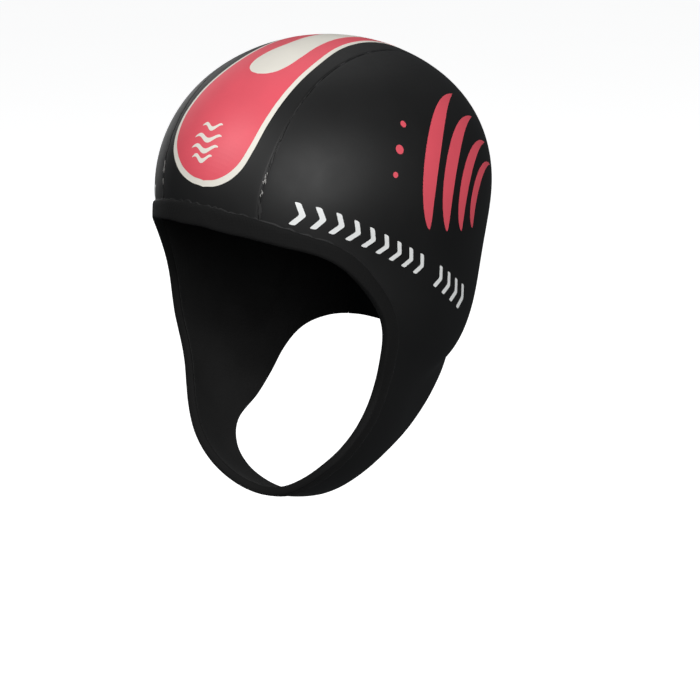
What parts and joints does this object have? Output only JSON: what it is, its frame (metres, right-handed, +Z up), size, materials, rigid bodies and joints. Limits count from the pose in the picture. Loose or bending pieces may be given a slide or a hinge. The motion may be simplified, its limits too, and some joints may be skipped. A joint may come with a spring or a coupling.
{
  "type": "neoprene diving cap",
  "caption": "Close-fitting swimming and diving cap of smooth-skin neoprene with covered ears, a bound face opening and a one-piece strap that loops under the chin.",
  "frame": {"origin": "crown seat, where the top of the wearer's head meets the inside of the cap", "axes": "+Z up, the wearer faces -Y, +X is the wearer's left"},
  "size_m": [0.1644, 0.2008, 0.2396],
  "materials": {
    "smooth_neoprene": "semi-gloss smooth skin",
    "edge_binding": "matte stretch jersey",
    "print_red": "satin transfer print",
    "print_cream": "satin transfer print",
    "print_white": "satin transfer print"
  },
  "bodies": {
    "root": {"center_panel": "smooth_neoprene", "side_panel_left": "smooth_neoprene", "side_panel_right": "smooth_neoprene", "face_hem": "edge_binding"}
  },
  "joints": []
}
